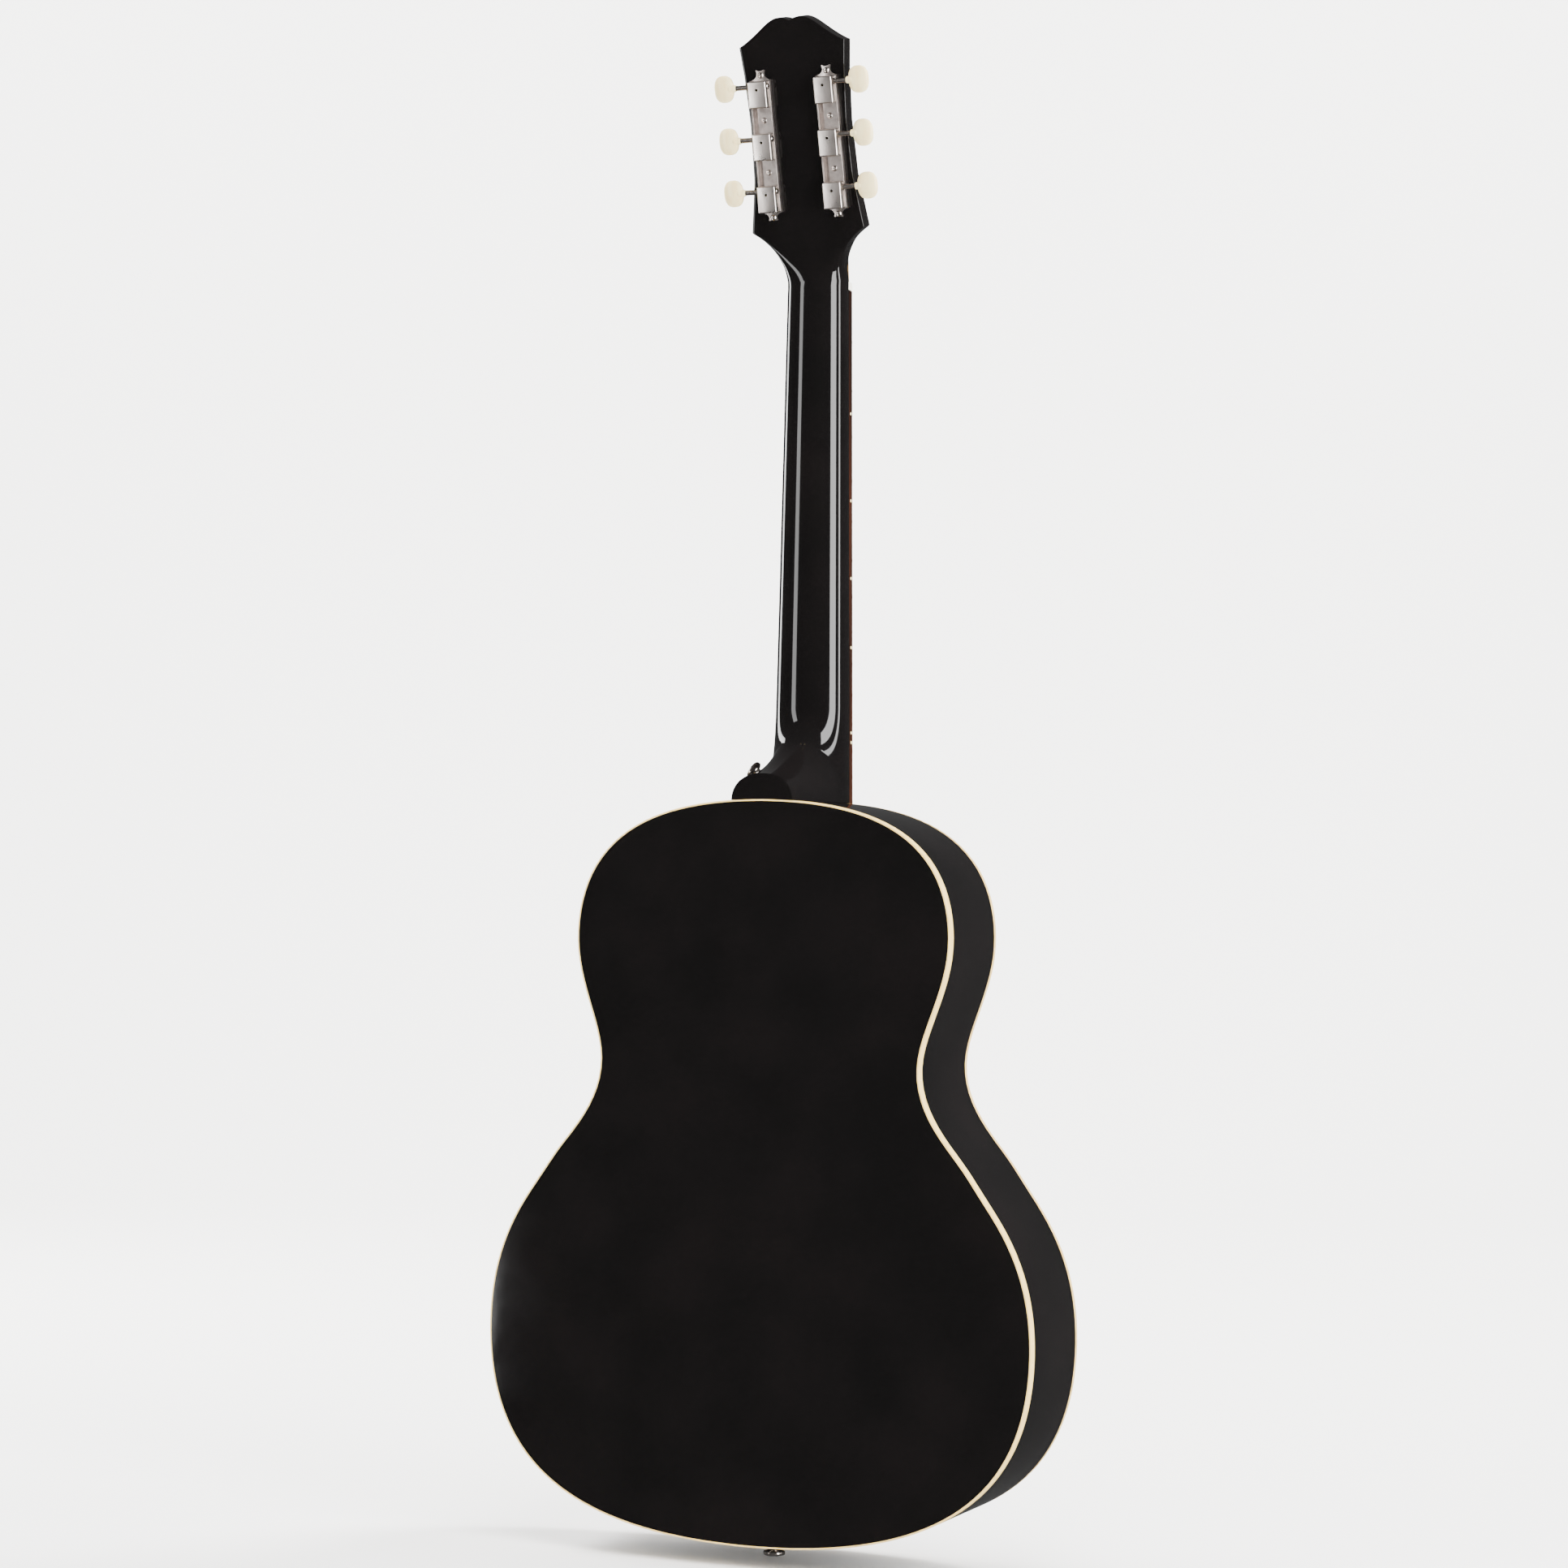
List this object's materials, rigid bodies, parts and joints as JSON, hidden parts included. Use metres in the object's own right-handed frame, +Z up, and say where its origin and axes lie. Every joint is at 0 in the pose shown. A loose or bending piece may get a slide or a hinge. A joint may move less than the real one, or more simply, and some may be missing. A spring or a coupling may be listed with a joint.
{
  "type": "acoustic guitar",
  "caption": "Small-bodied steel-string acoustic guitar in gloss black with cream binding, slim neck, vintage tuning machines, bridge pins and strap pins.",
  "frame": {"origin": "centre of the outer face of the strap pin in the tail", "axes": "+Z up the neck, +Y out of the back, +X to the treble side"},
  "size_m": [0.3874, 0.1114, 1.0293],
  "materials": {
    "black_lacquered_wood": "gloss black lacquer",
    "cream_binding": "polished cream celluloid",
    "raw_spruce": "raw, sanded",
    "raw_mahogany": "raw, sawn",
    "rosewood": "oiled open-pored rosewood",
    "bone": "polished bone",
    "cream_plastic": "polished cream plastic",
    "black_plastic": "gloss black plastic",
    "nickel_plate": "nickel plated steel",
    "truss_steel": "zinc plated steel",
    "truss_brass": "turned brass",
    "string_metal": "bronze wound steel wire",
    "plain_string_steel": "plain steel wire"
  },
  "bodies": {
    "root": {"soundboard": "black_lacquered_wood", "back_plate": "black_lacquered_wood", "sides": "black_lacquered_wood", "neck": "black_lacquered_wood", "top_binding": "cream_binding", "back_binding": "cream_binding", "top_bracing": "raw_spruce", "back_bracing": "raw_spruce", "top_lining": "raw_spruce", "back_lining": "raw_spruce", "neck_block": "raw_mahogany", "tail_block": "raw_mahogany", "bridge": "rosewood", "fingerboard": "rosewood", "saddle": "bone", "nut": "bone", "pickguard": "black_plastic", "truss_rod_cover": "black_plastic", "tuner_plate_bass": "nickel_plate", "tuner_plate_treble": "nickel_plate", "tuner_cover_1": "nickel_plate", "tuner_cover_2": "nickel_plate", "tuner_cover_3": "nickel_plate", "tuner_cover_4": "nickel_plate", "tuner_cover_5": "nickel_plate", "tuner_cover_6": "nickel_plate", "end_pin": "nickel_plate", "heel_pin": "nickel_plate", "truss_rod": "truss_steel", "string_3": "string_metal", "string_4": "string_metal", "string_5": "string_metal", "string_6": "string_metal", "string_1": "plain_string_steel", "string_2": "plain_string_steel"},
    "key_1": {"tuner_button_1": "cream_plastic", "tuner_worm_1": "nickel_plate"},
    "post_1": {"tuner_post_1": "nickel_plate"},
    "key_2": {"tuner_button_2": "cream_plastic", "tuner_worm_2": "nickel_plate"},
    "post_2": {"tuner_post_2": "nickel_plate"},
    "key_3": {"tuner_button_3": "cream_plastic", "tuner_worm_3": "nickel_plate"},
    "post_3": {"tuner_post_3": "nickel_plate"},
    "key_4": {"tuner_button_4": "cream_plastic", "tuner_worm_4": "nickel_plate"},
    "post_4": {"tuner_post_4": "nickel_plate"},
    "key_5": {"tuner_button_5": "cream_plastic", "tuner_worm_5": "nickel_plate"},
    "post_5": {"tuner_post_5": "nickel_plate"},
    "key_6": {"tuner_button_6": "cream_plastic", "tuner_worm_6": "nickel_plate"},
    "post_6": {"tuner_post_6": "nickel_plate"},
    "pin_1": {"bridge_pin_1": "cream_plastic"},
    "pin_2": {"bridge_pin_2": "cream_plastic"},
    "pin_3": {"bridge_pin_3": "cream_plastic"},
    "pin_4": {"bridge_pin_4": "cream_plastic"},
    "pin_5": {"bridge_pin_5": "cream_plastic"},
    "pin_6": {"bridge_pin_6": "cream_plastic"},
    "truss_nut": {"truss_rod_nut": "truss_brass"}
  },
  "joints": [
    {"name": "key_1_turn", "type": "hinge", "parent": "root", "child": "key_1", "pos_m": [0.024, -0.01298, 0.91375], "axis": [1, 0, 0], "continuous": true},
    {"name": "post_1_turn", "type": "hinge", "parent": "root", "child": "post_1", "pos_m": [0.024, -0.03395, 0.91161], "axis": [0, 0.9659, -0.2588], "continuous": true},
    {"name": "key_2_turn", "type": "hinge", "parent": "root", "child": "key_2", "pos_m": [0.024, -0.00392, 0.94756], "axis": [1, 0, 0], "continuous": true},
    {"name": "post_2_turn", "type": "hinge", "parent": "root", "child": "post_2", "pos_m": [0.024, -0.02489, 0.94541], "axis": [0, 0.9659, -0.2588], "continuous": true},
    {"name": "key_3_turn", "type": "hinge", "parent": "root", "child": "key_3", "pos_m": [0.024, 0.00514, 0.98137], "axis": [1, 0, 0], "continuous": true},
    {"name": "post_3_turn", "type": "hinge", "parent": "root", "child": "post_3", "pos_m": [0.024, -0.01583, 0.97922], "axis": [0, 0.9659, -0.2588], "continuous": true},
    {"name": "key_4_turn", "type": "hinge", "parent": "root", "child": "key_4", "pos_m": [-0.024, 0.00514, 0.98137], "axis": [1, 0, 0], "continuous": true},
    {"name": "post_4_turn", "type": "hinge", "parent": "root", "child": "post_4", "pos_m": [-0.024, -0.01583, 0.97922], "axis": [0, 0.9659, -0.2588], "continuous": true},
    {"name": "key_5_turn", "type": "hinge", "parent": "root", "child": "key_5", "pos_m": [-0.024, -0.00392, 0.94756], "axis": [1, 0, 0], "continuous": true},
    {"name": "post_5_turn", "type": "hinge", "parent": "root", "child": "post_5", "pos_m": [-0.024, -0.02489, 0.94541], "axis": [0, 0.9659, -0.2588], "continuous": true},
    {"name": "key_6_turn", "type": "hinge", "parent": "root", "child": "key_6", "pos_m": [-0.024, -0.01298, 0.91375], "axis": [1, 0, 0], "continuous": true},
    {"name": "post_6_turn", "type": "hinge", "parent": "root", "child": "post_6", "pos_m": [-0.024, -0.03395, 0.91161], "axis": [0, 0.9659, -0.2588], "continuous": true},
    {"name": "pin_1_pull", "type": "slide", "parent": "root", "child": "pin_1", "axis": [0, -1, 0], "range_m": [0, 0.03]},
    {"name": "pin_2_pull", "type": "slide", "parent": "root", "child": "pin_2", "axis": [0, -1, 0], "range_m": [0, 0.03]},
    {"name": "pin_3_pull", "type": "slide", "parent": "root", "child": "pin_3", "axis": [0, -1, 0], "range_m": [0, 0.03]},
    {"name": "pin_4_pull", "type": "slide", "parent": "root", "child": "pin_4", "axis": [0, -1, 0], "range_m": [0, 0.03]},
    {"name": "pin_5_pull", "type": "slide", "parent": "root", "child": "pin_5", "axis": [0, -1, 0], "range_m": [0, 0.03]},
    {"name": "pin_6_pull", "type": "slide", "parent": "root", "child": "pin_6", "axis": [0, -1, 0], "range_m": [0, 0.03]},
    {"name": "truss_nut_turn", "type": "hinge", "parent": "root", "child": "truss_nut", "pos_m": [0, -0.04275, 0.85776], "axis": [0, 0, 1], "range_deg": [-360, 360]}
  ],
  "couplings": [
    {"joint": "post_1_turn", "follows": "key_1_turn", "ratio": -0.066667},
    {"joint": "post_2_turn", "follows": "key_2_turn", "ratio": -0.066667},
    {"joint": "post_3_turn", "follows": "key_3_turn", "ratio": -0.066667},
    {"joint": "post_4_turn", "follows": "key_4_turn", "ratio": -0.066667},
    {"joint": "post_5_turn", "follows": "key_5_turn", "ratio": -0.066667},
    {"joint": "post_6_turn", "follows": "key_6_turn", "ratio": -0.066667}
  ]
}
